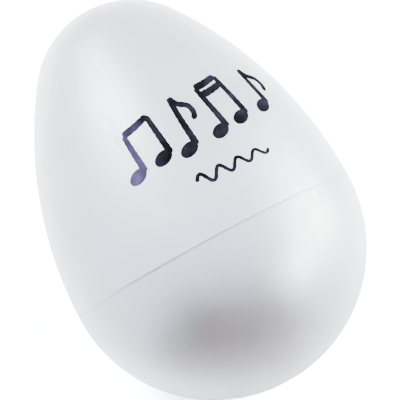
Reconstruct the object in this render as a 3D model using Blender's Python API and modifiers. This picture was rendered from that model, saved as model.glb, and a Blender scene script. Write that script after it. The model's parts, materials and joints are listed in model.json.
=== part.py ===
"""Egg shaker: two moulded shells, spigot and socket at the widest section, holding loose steel shot.

Metres, +Z up. The egg lies on its round end, balanced by the shot, with its narrow end leaning towards -X.
The shot can swirl around the egg's long axis, and each ball can be thrown across the hollow.
"""

import math

import bmesh
import bpy
from mathutils import Matrix, Vector

MM = 0.001

# Outer form of the egg
LENGTH = 57.0 * MM
DIAMETER = 41.0 * MM
NOSE_RADIUS = 13.0 * MM
WALL = 1.1 * MM

# Moulding gate flats at the two poles
BLUNT_FLAT_RADIUS = 1.6 * MM
NOSE_FLAT_RADIUS = 0.8 * MM

# Lap joint at the widest section: the lower shell's spigot stands inside the upper shell's socket
GAP = 0.3 * MM
SPIGOT_WALL = 0.4 * MM
SPIGOT_HEIGHT = 2.4 * MM
SEAM_CHAMFER = 0.12 * MM

# Steel shot
BALL_DIAMETER = 4.5 * MM
BALL_COUNT = 20
BALL_GAP = 0.3 * MM
PILE_TILT = math.radians(20.0)

# Mesh resolution. The egg lies flat on one facet of its round end, REST_RING facets below the widest section
TURN_STEPS = 30
ARC_STEPS = 9
ROUND_STEPS = 8
REST_RING = 3
BALL_SUBDIVISIONS = 2
WALL_SEARCH_STEPS = 50

ROUND_RADIUS = DIAMETER / 2
FROM_CENTRE = LENGTH - ROUND_RADIUS - NOSE_RADIUS


def side_radius():
    """Radius of the side arc, tangent to the round end at the widest section and to the nose's arc."""
    return (FROM_CENTRE ** 2 + ROUND_RADIUS ** 2 - NOSE_RADIUS ** 2) / (2 * (ROUND_RADIUS - NOSE_RADIUS))


SIDE_RADIUS = side_radius()
SIDE_CENTRE = Vector((ROUND_RADIUS - SIDE_RADIUS, 0.0))
NOSE_CENTRE = Vector((0.0, FROM_CENTRE))
JOIN_ANGLE = math.atan2(FROM_CENTRE, SIDE_RADIUS - ROUND_RADIUS)
HALF_STEP = math.pi / TURN_STEPS


def arc(centre, radius, start, end, steps):
    """Points (radius from the axis, height) along an arc, angles measured up from the widest section."""
    points = []
    for step in range(steps + 1):
        angle = start + (end - start) * step / steps
        points.append(Vector((centre.x + radius * math.cos(angle), centre.y + radius * math.sin(angle))))
    return points


def narrow_curve(inset, start_height, flat_radius):
    """Side and nose arcs moved inwards by inset, from start_height up to a flat of flat_radius."""
    side = SIDE_RADIUS - inset
    nose = NOSE_RADIUS - inset
    start = math.asin(start_height / side)
    end = math.acos(flat_radius / nose)
    points = arc(SIDE_CENTRE, side, start, JOIN_ANGLE, ARC_STEPS)
    points += arc(NOSE_CENTRE, nose, JOIN_ANGLE, end, ARC_STEPS)[1:]
    return points


def round_curve(inset, start_height, flat_radius):
    """Round end's arc moved inwards by inset, from start_height down to a flat of flat_radius."""
    radius = ROUND_RADIUS - inset
    start = math.asin(start_height / radius)
    end = -math.acos(flat_radius / radius)
    return arc(Vector((0.0, 0.0)), radius, start, end, ROUND_STEPS)


def rest_facet():
    """Lean of the egg's axis, and height of its widest section's centre, with the egg flat on its rest facet."""
    rings = round_curve(0.0, -SEAM_CHAMFER, BLUNT_FLAT_RADIUS)
    flatten = math.cos(HALF_STEP)
    upper = Vector((rings[REST_RING].x * flatten, rings[REST_RING].y))
    lower = Vector((rings[REST_RING + 1].x * flatten, rings[REST_RING + 1].y))
    normal = Vector((upper.y - lower.y, lower.x - upper.x)).normalized()
    return math.atan2(normal.x, -normal.y), normal.dot(upper)


LEAN, REST_HEIGHT = rest_facet()
NOSE_REACH = FROM_CENTRE * math.sin(LEAN) + NOSE_RADIUS
EGG_CENTRE = Vector(((NOSE_REACH - ROUND_RADIUS) / 2, 0.0, REST_HEIGHT))
EGG_TURN = Matrix.Rotation(-LEAN, 4, "Y")
EGG_PLACE = Matrix.Translation(EGG_CENTRE) @ EGG_TURN


def new_material(name, colour, roughness, metallic, transmission):
    material = bpy.data.materials.new(name)
    material.use_nodes = True
    shader = material.node_tree.nodes["Principled BSDF"]
    shader.inputs["Base Color"].default_value = (*colour, 1.0)
    shader.inputs["Roughness"].default_value = roughness
    shader.inputs["Metallic"].default_value = metallic
    shader.inputs["Transmission Weight"].default_value = transmission
    return material


def turned(name, profile, material, collection):
    """Turned piece: a closed profile, outer side first from top to bottom, and a Screw.

    Half a step's turn about the egg's axis puts a facet, not an edge, under the egg where it lies.
    """
    mesh = bpy.data.meshes.new(name)
    body = bmesh.new()
    verts = [body.verts.new((point.x, 0.0, point.y)) for point in profile]
    for first, second in zip(verts, verts[1:]):
        body.edges.new((first, second))
    if profile[0].x > 0:
        body.edges.new((verts[-1], verts[0]))
    body.to_mesh(mesh)
    body.free()
    obj = bpy.data.objects.new(name, mesh)
    collection.objects.link(obj)
    obj.matrix_world = EGG_PLACE @ Matrix.Rotation(HALF_STEP, 4, "Z")
    screw = obj.modifiers.new("turn", "SCREW")
    screw.axis = "Z"
    screw.angle = math.tau
    screw.steps = TURN_STEPS
    screw.render_steps = TURN_STEPS
    screw.use_merge_vertices = True
    screw.merge_threshold = 0.01 * MM
    screw.use_smooth_shade = True
    mesh.materials.append(material)
    return obj


def lap_radii():
    """Radii of the lap joint, from the inside of the spigot to the outside of the shells."""
    spigot_inner = ROUND_RADIUS - WALL
    spigot_outer = spigot_inner + SPIGOT_WALL
    socket_inner = spigot_outer + GAP
    return spigot_inner, spigot_outer, socket_inner


def build_upper_shell(material, collection):
    _, _, socket_inner = lap_radii()
    socket_top = SPIGOT_HEIGHT + GAP
    base = GAP
    outside = list(reversed(narrow_curve(0.0, base + SEAM_CHAMFER, NOSE_FLAT_RADIUS)))
    inside = narrow_curve(WALL, socket_top, 0.0)
    nose_top = Vector((0.0, outside[0].y))
    chamfer = Vector((ROUND_RADIUS - SEAM_CHAMFER, base))
    socket = [Vector((socket_inner, base)), Vector((socket_inner, socket_top))]
    profile = [nose_top] + outside + [chamfer] + socket + inside[:-1]
    profile.append(Vector((0.0, inside[-1].y)))
    return turned("upper_shell", profile, material, collection)


def build_lower_shell(material, collection):
    spigot_inner, spigot_outer, _ = lap_radii()
    outside = round_curve(0.0, -SEAM_CHAMFER, BLUNT_FLAT_RADIUS)
    inside = list(reversed(round_curve(WALL, 0.0, 0.0)))
    pole = Vector((0.0, outside[-1].y))
    lip = [Vector((spigot_inner, SPIGOT_HEIGHT)), Vector((spigot_outer, SPIGOT_HEIGHT))]
    step = [Vector((spigot_outer, 0.0)), Vector((ROUND_RADIUS - SEAM_CHAMFER, 0.0))]
    profile = lip + step + outside + [pole]
    profile.append(Vector((0.0, inside[0].y)))
    profile += inside[1:]
    return turned("lower_shell", profile, material, collection)


def down_direction():
    """The way that the pile of shot lies from the egg's centre, in world axes."""
    return Vector((math.sin(PILE_TILT), 0.0, -math.cos(PILE_TILT)))


def pile_axes():
    """Two directions across the pile and the throw direction, which is opposite to the pile's down."""
    up = -down_direction()
    across = Vector((0.0, 1.0, 0.0))
    along = across.cross(up)
    return along, across, up


def room_at(point):
    """Distance from a world point to the hollow's wall, positive inside."""
    local = EGG_PLACE.inverted() @ point
    radius = math.hypot(local.x, local.y)
    if local.z <= 0:
        return ROUND_RADIUS - WALL - math.hypot(radius, local.z)
    from_side = Vector((radius, local.z)) - SIDE_CENTRE
    if math.atan2(from_side.y, from_side.x) <= JOIN_ANGLE:
        return SIDE_RADIUS - WALL - from_side.length
    return NOSE_RADIUS - WALL - (Vector((radius, local.z)) - NOSE_CENTRE).length


def wall_height(foot, direction):
    """How far a ball can go from foot along direction before it is BALL_GAP from the wall."""
    clearance = BALL_DIAMETER / 2 + BALL_GAP
    near = 0.0
    far = LENGTH
    for _ in range(WALL_SEARCH_STEPS):
        middle = (near + far) / 2
        if room_at(foot + direction * middle) > clearance:
            near = middle
        else:
            far = middle
    return near


def lattice_sites(pitch):
    """Sites of two nested hexagonal layers, as seen along the throw direction."""
    reach = math.ceil(ROUND_RADIUS / pitch)
    row = pitch * math.sqrt(3) / 2
    nested = pitch / math.sqrt(3)
    sites = []
    for shift in (0.0, nested):
        for j in range(-reach, reach + 1):
            for i in range(-reach, reach + 1):
                sites.append((i * pitch + (j % 2) * pitch / 2, j * row + shift))
    return sites


def stack_height(site, placed, pitch, floor):
    """Height at which a ball comes to rest on the wall or on the balls already placed."""
    height = floor
    for other, level in placed:
        distance = math.hypot(site[0] - other[0], site[1] - other[1])
        if distance < pitch:
            height = max(height, level + math.sqrt(pitch ** 2 - distance ** 2))
    return height


def fill_pile():
    """Drop balls one by one, each where it comes to rest lowest. Returns sites and heights."""
    along, across, up = pile_axes()
    pitch = BALL_DIAMETER + BALL_GAP
    placed = []
    sites = lattice_sites(pitch)
    while len(placed) < BALL_COUNT:
        choices = []
        for site in sites:
            foot = EGG_CENTRE + along * site[0] + across * site[1]
            if room_at(foot) < BALL_DIAMETER / 2 + BALL_GAP:
                continue
            height = stack_height(site, placed, pitch, -wall_height(foot, -up))
            choices.append((round(height, 7), round(math.hypot(*site), 6), site))
        height, _, site = min(choices)
        placed.append((site, height))
    return placed


def build_shot(material, collection):
    along, across, up = pile_axes()
    mesh = bpy.data.meshes.new("shot")
    body = bmesh.new()
    bmesh.ops.create_icosphere(body, subdivisions=BALL_SUBDIVISIONS, radius=BALL_DIAMETER / 2)
    for face in body.faces:
        face.smooth = True
    body.to_mesh(mesh)
    body.free()
    mesh.materials.append(material)
    for index, (site, height) in enumerate(fill_pile()):
        ball = bpy.data.objects.new(f"shot_{index + 1:02d}", mesh)
        ball.location = EGG_CENTRE + along * site[0] + across * site[1] + up * height
        collection.objects.link(ball)


def main():
    for obj in list(bpy.data.objects):
        bpy.data.objects.remove(obj, do_unlink=True)
    collection = bpy.data.collections.new("egg_shaker")
    bpy.context.scene.collection.children.link(collection)
    frosted = new_material("frosted_plastic", (0.86, 0.87, 0.88), 0.42, 0.0, 0.35)
    steel = new_material("copper_washed_steel", (0.42, 0.30, 0.25), 0.35, 1.0, 0.0)
    build_upper_shell(frosted, collection)
    build_lower_shell(frosted, collection)
    build_shot(steel, collection)


main()
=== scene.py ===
"""Egg shaker: fine shells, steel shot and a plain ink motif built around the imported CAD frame."""

import json
import math

import bmesh
import bpy
from mathutils import Matrix, Vector


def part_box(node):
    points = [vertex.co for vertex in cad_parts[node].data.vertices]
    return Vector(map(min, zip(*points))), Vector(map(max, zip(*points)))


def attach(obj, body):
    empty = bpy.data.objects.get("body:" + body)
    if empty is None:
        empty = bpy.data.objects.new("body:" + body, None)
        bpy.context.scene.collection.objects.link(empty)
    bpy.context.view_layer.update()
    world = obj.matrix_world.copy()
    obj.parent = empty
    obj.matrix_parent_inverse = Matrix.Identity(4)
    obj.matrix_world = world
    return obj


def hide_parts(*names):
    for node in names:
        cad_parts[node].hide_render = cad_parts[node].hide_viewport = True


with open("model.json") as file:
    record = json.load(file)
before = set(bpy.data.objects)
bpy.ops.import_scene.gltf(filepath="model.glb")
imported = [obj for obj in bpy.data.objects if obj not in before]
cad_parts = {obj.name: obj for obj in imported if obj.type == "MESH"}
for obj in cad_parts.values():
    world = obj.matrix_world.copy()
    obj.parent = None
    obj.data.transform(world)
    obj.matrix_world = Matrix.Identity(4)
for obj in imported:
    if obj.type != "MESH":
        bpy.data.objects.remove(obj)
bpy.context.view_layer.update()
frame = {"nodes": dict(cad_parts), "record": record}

MM = 0.001

# Outer form, the same driving sizes as the CAD
LENGTH = 57.0 * MM
NOSE_RADIUS = 13.0 * MM
DIAMETER = 41.0 * MM
WALL = 1.1 * MM
BLUNT_FLAT_RADIUS = 1.6 * MM
NOSE_FLAT_RADIUS = 0.8 * MM

# The seam: the two halves are glued, so only a fine groove between rounded lips shows
SEAM_HALF = 0.004 * MM
LIP_ROUND = 0.05 * MM

# Trimmed moulding gates, in a small recess in each pole's flat
BLUNT_GATE_RADIUS = 1.05 * MM
NOSE_GATE_RADIUS = 0.55 * MM
GATE_DEPTH = 0.22 * MM
GATE_NUB_RISE = 0.12 * MM
GATE_NUB_SHARE = 0.45
GATE_SLOPE = 0.06 * MM

TURN_STEPS = 160
ARC_STEPS = 36
LIP_STEPS = 5
MERGE_WITHIN = 0.001 * MM
BALL_SEGMENTS = 32

swirl = next(joint for joint in frame["record"]["behaviour"]["joints"] if joint["name"] == "shot_swirl")
EGG_CENTRE = Vector(swirl["pos_m"])
EGG_AXIS = Vector(swirl["axis"]).normalized()
ROUND_RADIUS = DIAMETER / 2
ACROSS = Vector((0.0, 1.0, 0.0))
SIDEWAYS = ACROSS.cross(EGG_AXIS).normalized()
EGG_PLACE = Matrix.Translation(EGG_CENTRE) @ Matrix((SIDEWAYS, ACROSS, EGG_AXIS)).transposed().to_4x4()

FROM_CENTRE = LENGTH - ROUND_RADIUS - NOSE_RADIUS
SIDE_RADIUS = (FROM_CENTRE ** 2 + ROUND_RADIUS ** 2 - NOSE_RADIUS ** 2) / (2 * (ROUND_RADIUS - NOSE_RADIUS))
SIDE_CENTRE = Vector((ROUND_RADIUS - SIDE_RADIUS, 0.0))
NOSE_CENTRE = Vector((0.0, FROM_CENTRE))
JOIN_ANGLE = math.atan2(FROM_CENTRE, SIDE_RADIUS - ROUND_RADIUS)

# Camera, as directions from the egg: back towards the camera, to its right and up
CAMERA_AZIMUTH = math.radians(53.5)
CAMERA_ELEVATION = math.radians(40.7)
CAMERA_DISTANCE = 300.0 * MM
CAMERA_SENSOR = 36.0
CAMERA_NEAR = 0.01
CAMERA_FAR = 10.0
PICTURE_WIDTH = 53.9 * MM
AIM_RIGHT = -1.94 * MM
AIM_UP = 6.41 * MM
BACK = Vector((
    math.sin(CAMERA_AZIMUTH) * math.cos(CAMERA_ELEVATION),
    -math.cos(CAMERA_AZIMUTH) * math.cos(CAMERA_ELEVATION),
    math.sin(CAMERA_ELEVATION),
))
RIGHT = Vector((math.cos(CAMERA_AZIMUTH), math.sin(CAMERA_AZIMUTH), 0.0))
UP = BACK.cross(RIGHT)

# Studio. A light stands in a direction from the egg, given as right, up and back, at a distance in metres
WORLD_STRENGTH = 2.5
WORLD_COLOUR = (0.90, 0.95, 0.985, 1.0)
KEY_TOWARDS = (0.93, 0.33, 0.17)
KEY_DISTANCE = 0.5
KEY_SIZE = 0.40
KEY_POWER = 200.0
KEY_COLOUR = (1.0, 0.99, 0.97)
FILL_TOWARDS = (-0.66, 0.60, 0.46)
FILL_DISTANCE = 0.6
FILL_SIZE = 0.35
FILL_POWER = 180.0
FILL_COLOUR = (0.97, 1.0, 0.965)
LOW_TOWARDS = (0.90, -0.15, 0.40)
LOW_DISTANCE = 0.5
LOW_SIZE = 0.12
LOW_POWER = 60.0
LOW_COLOUR = (1.0, 1.0, 1.0)
FLOOR_REACH = 3.0
FLOOR_COLOUR = (0.46, 0.47, 0.54, 1.0)
FLOOR_SHADE = 0.985


# ---------------------------------------------------------------- profiles

def arc(centre, radius, start, end, steps):
    """Points (radius from the axis, height) along an arc, angles measured up from the widest section."""
    points = []
    for step in range(steps + 1):
        angle = start + (end - start) * step / steps
        points.append(Vector((centre.x + radius * math.cos(angle), centre.y + radius * math.sin(angle))))
    return points


def narrow_curve(inset, start_height, flat_radius):
    """Side and nose arcs moved inwards by inset, from start_height up to a flat of flat_radius."""
    side = SIDE_RADIUS - inset
    nose = NOSE_RADIUS - inset
    start = math.asin(start_height / side)
    end = math.acos(flat_radius / nose)
    points = arc(SIDE_CENTRE, side, start, JOIN_ANGLE, ARC_STEPS)
    points += arc(NOSE_CENTRE, nose, JOIN_ANGLE, end, ARC_STEPS)[1:]
    return points


def round_curve(inset, start_height, flat_radius):
    """Round end's arc moved inwards by inset, from start_height down to a flat of flat_radius."""
    radius = ROUND_RADIUS - inset
    start = math.asin(start_height / radius)
    end = -math.acos(flat_radius / radius)
    return arc(Vector((0.0, 0.0)), radius, start, end, 2 * ARC_STEPS)


def quarter_round(corner, radius, start):
    """A small convex quarter round inside a corner, starting at the given angle and turning clockwise."""
    return arc(corner, radius, start, start - math.pi / 2, LIP_STEPS)


def turned(name, profile):
    """A closed profile turned about the egg's axis, outer side first from top to bottom."""
    mesh = bpy.data.meshes.new(name)
    body = bmesh.new()
    verts = [body.verts.new((point.x, 0.0, point.y)) for point in profile]
    for first, second in zip(verts, verts[1:]):
        if first.co.x > 0 or second.co.x > 0:
            body.edges.new((first, second))
    if profile[0].x > 0:
        body.edges.new((verts[-1], verts[0]))
    body.to_mesh(mesh)
    body.free()
    outline = bpy.data.objects.new(name + "_outline", mesh)
    bpy.context.scene.collection.objects.link(outline)
    screw = outline.modifiers.new("turn", "SCREW")
    screw.axis = "Z"
    screw.angle = math.tau
    screw.steps = TURN_STEPS
    screw.render_steps = TURN_STEPS
    screw.use_merge_vertices = True
    screw.merge_threshold = MERGE_WITHIN
    screw.use_smooth_shade = True
    depsgraph = bpy.context.evaluated_depsgraph_get()
    turned_mesh = bpy.data.meshes.new_from_object(outline.evaluated_get(depsgraph))
    turned_mesh.transform(EGG_PLACE)
    bpy.data.objects.remove(outline)
    obj = bpy.data.objects.new(name, turned_mesh)
    bpy.context.scene.collection.objects.link(obj)
    return obj


def gate_recess(flat_height, inwards, radius):
    """A shallow recess in a pole's flat, with the trimmed gate's nub in it, from its rim to the axis."""
    floor = flat_height + inwards * GATE_DEPTH
    nub = floor - inwards * GATE_NUB_RISE
    return [
        Vector((radius, flat_height)),
        Vector((radius - GATE_SLOPE, floor)),
        Vector((radius * GATE_NUB_SHARE + GATE_SLOPE, floor)),
        Vector((radius * GATE_NUB_SHARE, nub)),
        Vector((0.0, nub)),
    ]


def upper_profile():
    """Down the outside from the nose, round the lip, and up the inside."""
    base = SEAM_HALF
    outside = list(reversed(narrow_curve(0.0, base + LIP_ROUND, NOSE_FLAT_RADIUS)))
    lip = quarter_round(Vector((ROUND_RADIUS - LIP_ROUND, base + LIP_ROUND)), LIP_ROUND, 0.0)[1:]
    inside = narrow_curve(WALL, base, 0.0)
    top = list(reversed(gate_recess(outside[0].y, -1.0, NOSE_GATE_RADIUS)))
    return top + outside + lip + inside[:-1] + [Vector((0.0, inside[-1].y))]


def lower_profile():
    """Round the lip from the inside, down the outside to the round end's pole, and up the inside."""
    base = -SEAM_HALF
    outside = round_curve(0.0, base - LIP_ROUND, BLUNT_FLAT_RADIUS)
    inside = list(reversed(round_curve(WALL, base, 0.0)))
    lip = quarter_round(Vector((ROUND_RADIUS - LIP_ROUND, base - LIP_ROUND)), LIP_ROUND, math.pi / 2)
    rim = [Vector((ROUND_RADIUS - WALL, base))]
    poles = gate_recess(outside[-1].y, 1.0, BLUNT_GATE_RADIUS) + [Vector((0.0, inside[0].y))]
    return rim + lip[:-1] + outside + poles + inside[1:-1]


# ---------------------------------------------------------------- materials

PLASTIC_COLOUR = (0.340, 0.360, 0.369, 1.0)
PLASTIC_CLOUD = (0.395, 0.415, 0.426, 1.0)
PLASTIC_ROUGHNESS = 0.41
PLASTIC_HANDLED = 0.12
PLASTIC_IOR = 1.22
TRANSLUCENT_SHARE = 0.01
SHOT_COPPER = (0.13, 0.045, 0.029, 1.0)
SHOT_STEEL = (0.07, 0.034, 0.026, 1.0)
FULL_INK = (0.0003, 0.0003, 0.0004, 1.0)
PATCHY_INK = (0.0012, 0.0010, 0.0018, 1.0)
# Painted reflection: the violet that the ink is lightened to at the print's left end
PAINTED_REFLECTION_INK = (0.0085, 0.0070, 0.0170, 1.0)

# The float attribute on the ink's mesh that says how strongly a painted reflection lightens the ink towards
# violet
PAINTED_REFLECTION_LAYER = "painted_reflection"


def new_material(name):
    material = bpy.data.materials.new(name)
    material.use_nodes = True
    nodes = material.node_tree.nodes
    return material, nodes, material.node_tree.links, nodes["Principled BSDF"]


def noise(nodes, links, scale, detail, stretch=(1.0, 1.0, 1.0)):
    """Noise in the object's own space, scale in features per metre, optionally stretched."""
    coordinates = nodes.new("ShaderNodeTexCoord")
    mapping = nodes.new("ShaderNodeMapping")
    mapping.inputs["Scale"].default_value = stretch
    texture = nodes.new("ShaderNodeTexNoise")
    texture.inputs["Scale"].default_value = scale
    texture.inputs["Detail"].default_value = detail
    links.new(coordinates.outputs["Object"], mapping.inputs["Vector"])
    links.new(mapping.outputs["Vector"], texture.inputs["Vector"])
    return texture.outputs["Fac"]


def spread(nodes, links, value, low, high, to_low, to_high):
    """A value from low..high brought to to_low..to_high, and held there."""
    rescale = nodes.new("ShaderNodeMapRange")
    rescale.inputs["From Min"].default_value = low
    rescale.inputs["From Max"].default_value = high
    rescale.inputs["To Min"].default_value = to_low
    rescale.inputs["To Max"].default_value = to_high
    links.new(value, rescale.inputs["Value"])
    return rescale.outputs["Result"]


def two_colours(nodes, links, factor, first, second):
    mix = nodes.new("ShaderNodeMix")
    mix.data_type = "RGBA"
    mix.inputs["A"].default_value = first
    mix.inputs["B"].default_value = second
    links.new(factor, mix.inputs["Factor"])
    return mix.outputs["Result"]


def bumps(nodes, links, shader, layers):
    """Stacked bumps: each layer is a height value, its distance and its strength."""
    normal = None
    for height, distance, strength in layers:
        bump = nodes.new("ShaderNodeBump")
        bump.inputs["Strength"].default_value = strength
        bump.inputs["Distance"].default_value = distance
        links.new(height, bump.inputs["Height"])
        if normal:
            links.new(normal, bump.inputs["Normal"])
        normal = bump.outputs["Normal"]
    links.new(normal, shader.inputs["Normal"])


def frosted_plastic():
    """Rough, milky shell plastic, through which the shot shows as a soft shadow."""
    material, nodes, links, shader = new_material("frosted_plastic")
    cloud = noise(nodes, links, scale=90.0, detail=3.0)
    grain = noise(nodes, links, scale=3200.0, detail=3.0)
    scuff = noise(nodes, links, scale=260.0, detail=6.0, stretch=(1.0, 5.0, 0.6))
    clouding = spread(nodes, links, cloud, low=0.35, high=0.65, to_low=0.0, to_high=1.0)
    colour = two_colours(nodes, links, clouding, PLASTIC_COLOUR, PLASTIC_CLOUD)
    links.new(colour, shader.inputs["Base Color"])
    rougher = PLASTIC_ROUGHNESS + PLASTIC_HANDLED
    handled = spread(nodes, links, scuff, low=0.52, high=0.72, to_low=PLASTIC_ROUGHNESS, to_high=rougher)
    links.new(handled, shader.inputs["Roughness"])
    shader.inputs["IOR"].default_value = PLASTIC_IOR
    shader.inputs["Transmission Weight"].default_value = 1.0
    bumps(nodes, links, shader, ((grain, 0.012 * MM, 0.35), (scuff, 0.02 * MM, 0.15)))
    through = nodes.new("ShaderNodeBsdfTranslucent")
    links.new(colour, through.inputs["Color"])
    blend = nodes.new("ShaderNodeMixShader")
    blend.inputs["Fac"].default_value = TRANSLUCENT_SHARE
    links.new(shader.outputs["BSDF"], blend.inputs[1])
    links.new(through.outputs["BSDF"], blend.inputs[2])
    links.new(blend.outputs["Shader"], nodes["Material Output"].inputs["Surface"])
    return material


def shot_steel():
    """Steel shot with a worn copper wash."""
    material, nodes, links, shader = new_material("copper_washed_steel")
    wash = noise(nodes, links, scale=900.0, detail=5.0)
    fine = noise(nodes, links, scale=6000.0, detail=3.0)
    bare = spread(nodes, links, wash, low=0.48, high=0.62, to_low=0.0, to_high=1.0)
    links.new(two_colours(nodes, links, bare, SHOT_COPPER, SHOT_STEEL), shader.inputs["Base Color"])
    roughness = spread(nodes, links, wash, low=0.35, high=0.65, to_low=0.34, to_high=0.5)
    links.new(roughness, shader.inputs["Roughness"])
    shader.inputs["Metallic"].default_value = 1.0
    bumps(nodes, links, shader, ((fine, 0.004 * MM, 0.4),))
    return material


def black_ink():
    """Matt black ink with random patches, turned violet where a painted reflection is laid on it."""
    material, nodes, links, shader = new_material("black_ink")
    patches = noise(nodes, links, scale=700.0, detail=4.0)
    fine = noise(nodes, links, scale=5200.0, detail=4.0)
    patching = spread(nodes, links, patches, low=0.40, high=0.70, to_low=0.0, to_high=1.0)
    full = two_colours(nodes, links, patching, FULL_INK, PATCHY_INK)
    # Painted reflection: the attribute lightens the ink towards violet, made patchy by noise
    reflection_share = nodes.new("ShaderNodeAttribute")
    reflection_share.attribute_name = PAINTED_REFLECTION_LAYER
    patchy_reflection = nodes.new("ShaderNodeMath")
    patchy_reflection.operation = "MULTIPLY"
    links.new(reflection_share.outputs["Fac"], patchy_reflection.inputs[0])
    reflection_patchiness = spread(nodes, links, patches, low=0.30, high=0.65, to_low=0.25, to_high=1.0)
    links.new(reflection_patchiness, patchy_reflection.inputs[1])
    reflected = nodes.new("ShaderNodeMix")
    reflected.data_type = "RGBA"
    links.new(patchy_reflection.outputs["Value"], reflected.inputs["Factor"])
    links.new(full, reflected.inputs["A"])
    reflected.inputs["B"].default_value = PAINTED_REFLECTION_INK
    links.new(reflected.outputs["Result"], shader.inputs["Base Color"])
    roughness = spread(nodes, links, fine, low=0.3, high=0.7, to_low=0.30, to_high=0.50)
    links.new(roughness, shader.inputs["Roughness"])
    shader.inputs["Specular IOR Level"].default_value = 0.0
    bumps(nodes, links, shader, ((fine, 0.004 * MM, 0.4),))
    return material


def floor_white():
    material, nodes, links, shader = new_material("studio_floor")
    patches = noise(nodes, links, scale=6.0, detail=3.0)
    fibre = noise(nodes, links, scale=1500.0, detail=4.0)
    shade = tuple(channel * FLOOR_SHADE for channel in FLOOR_COLOUR[:3]) + (1.0,)
    links.new(two_colours(nodes, links, patches, FLOOR_COLOUR, shade), shader.inputs["Base Color"])
    roughness = spread(nodes, links, fibre, low=0.3, high=0.7, to_low=0.75, to_high=0.85)
    links.new(roughness, shader.inputs["Roughness"])
    bumps(nodes, links, shader, ((fibre, 0.02 * MM, 0.2),))
    return material


# ---------------------------------------------------------------- the printed motif

# Row centres on the egg's side: distance up from the widest section, and round to the right of the camera
MAIN_ROW_UP = 14.9 * MM
MAIN_ROW_ROUND = 6.3 * MM
WAVE_ROW_UP = 7.0 * MM
WAVE_ROW_ROUND = 7.6 * MM

# Half-widths of the strokes. The pen presses hardest at the start of a stroke, and wavers a little
MAIN_PEN = 0.43 * MM
BEAM_PEN = MAIN_PEN * 1.25
WAVE_PEN = 0.25 * MM
PRESSURE = 1.08
PRESSURE_FALL = 0.20
PRESSURE_WAVER = 0.05
WAVER_PER_MM = 7.0
STROKE_STEP = 0.22 * MM
CAP_STEPS = 5

# Ink film: height above the plastic, depth of its root in it, and lifts that keep crossing strokes apart
FILM = 0.030 * MM
FILM_ROOT = -0.015 * MM
STROKE_LIFT = 0.002 * MM
HEAD_LIFT = 0.004 * MM

# Across a stroke: share of the half-width, and share of the film's height
FILM_SECTION = ((-0.97, 0.6), (-0.72, 0.95), (0.0, 1.0), (0.72, 0.95), (0.97, 0.6))

# The print's left end carries a painted reflection: the ink is lightened towards violet there
PAINTED_REFLECTION_FROM = -6.5 * MM
PAINTED_REFLECTION_OVER = 5.0 * MM

HEAD_LONG = 1.30 * MM
HEAD_SHORT = 0.92 * MM
HEAD_TILT = math.radians(24.0)
HEAD_OFFSET = 0.86
HEAD_STEPS = 16

# Notes and wave, in millimetres. Stems are given as (right, up) from the row's centre
STEM_START = 0.1
STEM_BOW = 0.1
FLAG = ((0.0, 0.0), (0.5, -1.2), (1.75, -2.2), (1.9, -3.5), (1.35, -4.3))
BEAM_PITCH = 1.35
BEAM_OVERHANG = 0.1
BEAM_SAG = 0.12
LEFT_PAIR = (((-9.2, -3.6), (-5.4, -3.0)), ((-9.9, 2.3), (-6.0, 3.3)))
RIGHT_PAIR = (((2.6, -3.2), (6.2, -2.6)), ((2.0, 3.7), (5.7, 4.3)))
LEFT_SINGLE = (-2.1, -3.6, 4.1)
RIGHT_SINGLE = (10.6, -2.3, 3.9)
WAVE_LENGTH = 11.0
WAVE_HEIGHT = 0.85
WAVE_SHRINK = 0.35
WAVE_SWINGS = 4
WAVE_STEPS = 32


def on_side(row_up, row_round, point, rise):
    """A flat motif point (right, up) wrapped onto the side of the egg, rise above the plastic."""
    height = row_up + point.y
    angle = height / SIDE_RADIUS
    row_radius = SIDE_CENTRE.x + SIDE_RADIUS * math.cos(row_up / SIDE_RADIUS)
    facing = math.atan2(BACK.dot(ACROSS), BACK.dot(SIDEWAYS))
    turn = facing + (row_round + point.x) / row_radius
    radius = SIDE_CENTRE.x + (SIDE_RADIUS + rise) * math.cos(angle)
    local = Vector((radius * math.cos(turn), radius * math.sin(turn), (SIDE_RADIUS + rise) * math.sin(angle)))
    return EGG_PLACE @ local


def smooth_path(points):
    """Points of a smooth curve through the given ones, about one stroke step apart."""
    ends = [2 * points[0] - points[1]] + list(points) + [2 * points[-1] - points[-2]]
    path = []
    for before, start, stop, after in zip(ends, ends[1:], ends[2:], ends[3:]):
        steps = max(2, round((stop - start).length / STROKE_STEP))
        for step in range(steps):
            t = step / steps
            path.append(0.5 * (2 * start + (stop - before) * t
                               + (2 * before - 5 * start + 4 * stop - after) * t ** 2
                               + (3 * start - before - 3 * stop + after) * t ** 3))
    path.append(points[-1].copy())
    return path


def along_path(path, wanted):
    """Place and direction at each wanted length along a path."""
    lengths = [0.0]
    for first, second in zip(path, path[1:]):
        lengths.append(lengths[-1] + (second - first).length)
    places = []
    index = 0
    for length in wanted:
        while index < len(path) - 2 and lengths[index + 1] < length:
            index += 1
        first, second = path[index], path[index + 1]
        share = (length - lengths[index]) / (second - first).length
        places.append((first + (second - first) * share, (second - first).normalized()))
    return places


def path_length(path):
    return sum((second - first).length for first, second in zip(path, path[1:]))


def pen_widths(length, pen):
    """Lengths along a brushed stroke and the half-width at each: round ends, and heavier at the start."""
    cap = [pen * (1 - math.cos(math.pi / 2 * step / CAP_STEPS)) for step in range(1, CAP_STEPS + 1)]
    middle_steps = max(1, round((length - 2 * pen) / STROKE_STEP))
    middle = [pen + (length - 2 * pen) * step / middle_steps for step in range(1, middle_steps)]
    wanted = cap + middle + [length - value for value in reversed(cap)]
    widths = []
    for value in wanted:
        near_end = min(value, length - value, pen)
        round_end = math.sqrt(max(0.0, 1 - (1 - near_end / pen) ** 2))
        waver = PRESSURE_WAVER * math.sin(WAVER_PER_MM * value / MM)
        pressure = PRESSURE - PRESSURE_FALL * value / length + waver
        widths.append(pen * round_end * pressure)
    return wanted, widths


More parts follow.
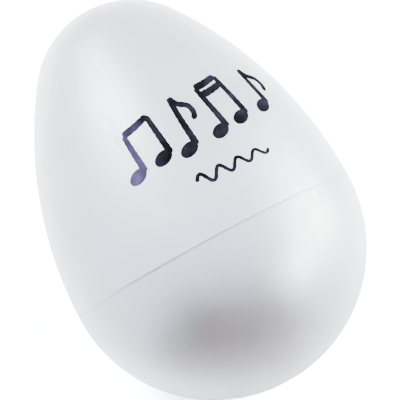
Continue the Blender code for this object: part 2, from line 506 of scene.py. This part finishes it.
def add_film(body, row, places, widths, lift):
    """A closed film of ink along the places, with the given half-widths, and a painted reflection towards its
    left end.
    """
    painted_reflection = body.verts.layers.float.get(PAINTED_REFLECTION_LAYER) or body.verts.layers.float.new(PAINTED_REFLECTION_LAYER)
    rings = []
    for (place, heading), width in zip(places, widths):
        across = Vector((heading.y, -heading.x))
        ring = [body.verts.new(on_side(*row, place - across * width, FILM_ROOT))]
        for side, share in FILM_SECTION:
            ring.append(body.verts.new(on_side(*row, place + across * width * side, (FILM + lift) * share)))
        ring.append(body.verts.new(on_side(*row, place + across * width, FILM_ROOT)))
        for vert in ring:
            # Painted reflection share: none right of its start, growing to full further left
            vert[painted_reflection] = min(1.0, max(0.0, (PAINTED_REFLECTION_FROM - place.x) / PAINTED_REFLECTION_OVER))
        rings.append(ring)
    for first, second in zip(rings, rings[1:]):
        for index in range(len(first)):
            following = (index + 1) % len(first)
            body.faces.new((first[index], first[following], second[following], second[index]))
    body.faces.new(list(reversed(rings[0])))
    body.faces.new(rings[-1])


def brush(body, row, points, pen, lift=0.0):
    path = smooth_path([Vector(point) * MM for point in points])
    wanted, widths = pen_widths(path_length(path), pen)
    add_film(body, row, along_path(path, wanted), widths, lift)


def note_head(body, row, x, y):
    """A filled oval whose right end meets a stem at x."""
    long_way = Vector((math.cos(HEAD_TILT), math.sin(HEAD_TILT)))
    centre = Vector((x, y)) * MM - Vector((HEAD_LONG * HEAD_OFFSET, 0.0))
    places = []
    widths = []
    for step in range(1, HEAD_STEPS):
        share = -math.cos(math.pi * step / HEAD_STEPS)
        places.append((centre + long_way * HEAD_LONG * share, long_way))
        widths.append(HEAD_SHORT * math.sqrt(1 - share ** 2))
    add_film(body, row, places, widths, HEAD_LIFT)


def single_note(body, row, x, foot, top):
    """One quaver: head, stem and a curling flag."""
    note_head(body, row, x, foot)
    brush(body, row, [(x, foot + STEM_START), (x - STEM_BOW, (foot + top) / 2), (x, top)], MAIN_PEN)
    flag = [(x + right, top + up) for right, up in FLAG]
    brush(body, row, flag, MAIN_PEN, STROKE_LIFT)


def beamed_notes(body, row, feet, tops, beams):
    """Notes whose stems, given by their feet and tops, are joined by one or more beams."""
    for foot, top in zip(feet, tops):
        note_head(body, row, foot[0], foot[1])
        brush(body, row, [(foot[0], foot[1] + STEM_START), top], MAIN_PEN)
    for beam in range(beams):
        drop = BEAM_PITCH * beam
        start = (tops[0][0] - BEAM_OVERHANG, tops[0][1] - drop)
        stop = (tops[-1][0] + BEAM_OVERHANG, tops[-1][1] - drop)
        middle = ((start[0] + stop[0]) / 2, (start[1] + stop[1]) / 2 - BEAM_SAG)
        brush(body, row, [start, middle, stop], BEAM_PEN, STROKE_LIFT)


def wave_points():
    """A plain wavy line, as hand-drawn: swings that shrink towards the right."""
    points = []
    for step in range(WAVE_STEPS + 1):
        share = step / WAVE_STEPS
        swing = (WAVE_HEIGHT - WAVE_SHRINK * share) * math.sin(math.tau * WAVE_SWINGS * share)
        points.append((-WAVE_LENGTH / 2 + WAVE_LENGTH * share, swing))
    return points


def build_motif():
    """A row of plain notes with a wavy line under it, as one mesh of closed ink films."""
    mesh = bpy.data.meshes.new("ink_motif")
    body = bmesh.new()
    row = (MAIN_ROW_UP, MAIN_ROW_ROUND)
    beamed_notes(body, row, *LEFT_PAIR, 1)
    single_note(body, row, *LEFT_SINGLE)
    beamed_notes(body, row, *RIGHT_PAIR, 2)
    single_note(body, row, *RIGHT_SINGLE)
    brush(body, (WAVE_ROW_UP, WAVE_ROW_ROUND), wave_points(), WAVE_PEN)
    bmesh.ops.recalc_face_normals(body, faces=body.faces)
    for face in body.faces:
        face.smooth = True
    body.to_mesh(mesh)
    body.free()
    mesh.materials.append(black_ink())
    motif = bpy.data.objects.new("ink_motif", mesh)
    bpy.context.scene.collection.objects.link(motif)
    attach(motif, "shells")


# ---------------------------------------------------------------- pieces

def build_shells():
    plastic = frosted_plastic()
    for name, profile in (("upper_shell", upper_profile()), ("lower_shell", lower_profile())):
        piece = turned(name + "_fine", profile)
        piece.data.materials.append(plastic)
        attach(piece, "shells")
        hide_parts(name)


def build_shot():
    steel = shot_steel()
    mesh = bpy.data.meshes.new("shot_ball")
    body = bmesh.new()
    low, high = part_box("shot_01")
    radius = (high - low).y / 2
    bmesh.ops.create_uvsphere(body, u_segments=BALL_SEGMENTS, v_segments=BALL_SEGMENTS // 2, radius=radius)
    for face in body.faces:
        face.smooth = True
    body.to_mesh(mesh)
    body.free()
    mesh.materials.append(steel)
    for name in sorted(frame["nodes"]):
        if not name.startswith("shot_"):
            continue
        low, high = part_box(name)
        ball = bpy.data.objects.new(name + "_ball", mesh)
        ball.location = (low + high) / 2
        bpy.context.scene.collection.objects.link(ball)
        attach(ball, name)
        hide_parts(name)


# ---------------------------------------------------------------- stage, lights and camera

def build_stage():
    mesh = bpy.data.meshes.new("floor")
    body = bmesh.new()
    bmesh.ops.create_grid(body, x_segments=1, y_segments=1, size=FLOOR_REACH)
    body.to_mesh(mesh)
    body.free()
    floor = bpy.data.objects.new("floor", mesh)
    floor.location.z = EGG_CENTRE.z - ROUND_RADIUS
    mesh.materials.append(floor_white())
    bpy.context.scene.collection.objects.link(floor)
    world = bpy.data.worlds.new("studio")
    world.use_nodes = True
    world.node_tree.nodes["Background"].inputs["Color"].default_value = WORLD_COLOUR
    world.node_tree.nodes["Background"].inputs["Strength"].default_value = WORLD_STRENGTH
    bpy.context.scene.world = world


def area_light(name, towards, distance, size, power, colour):
    """A round area light that faces the egg."""
    right, up, back = towards
    direction = (RIGHT * right + UP * up + BACK * back).normalized()
    data = bpy.data.lights.new(name, "AREA")
    data.shape = "DISK"
    data.size = size
    data.energy = power
    data.color = colour
    light = bpy.data.objects.new(name, data)
    light.location = EGG_CENTRE + direction * distance
    light.rotation_mode = "QUATERNION"
    light.rotation_quaternion = direction.to_track_quat("Z", "Y")
    bpy.context.scene.collection.objects.link(light)


def build_lights():
    area_light("key", KEY_TOWARDS, KEY_DISTANCE, KEY_SIZE, KEY_POWER, KEY_COLOUR)
    area_light("fill", FILL_TOWARDS, FILL_DISTANCE, FILL_SIZE, FILL_POWER, FILL_COLOUR)
    area_light("low", LOW_TOWARDS, LOW_DISTANCE, LOW_SIZE, LOW_POWER, LOW_COLOUR)


def build_camera():
    data = bpy.data.cameras.new("camera")
    data.sensor_width = CAMERA_SENSOR
    data.lens = data.sensor_width * CAMERA_DISTANCE / PICTURE_WIDTH
    data.clip_start = CAMERA_NEAR
    data.clip_end = CAMERA_FAR
    camera = bpy.data.objects.new("camera", data)
    aim = EGG_CENTRE + RIGHT * AIM_RIGHT + UP * AIM_UP
    camera.location = aim + BACK * CAMERA_DISTANCE
    camera.rotation_mode = "QUATERNION"
    camera.rotation_quaternion = BACK.to_track_quat("Z", "Y")
    bpy.context.scene.collection.objects.link(camera)
    bpy.context.scene.camera = camera


build_camera()
build_stage()
build_lights()
build_shells()
build_shot()
build_motif()
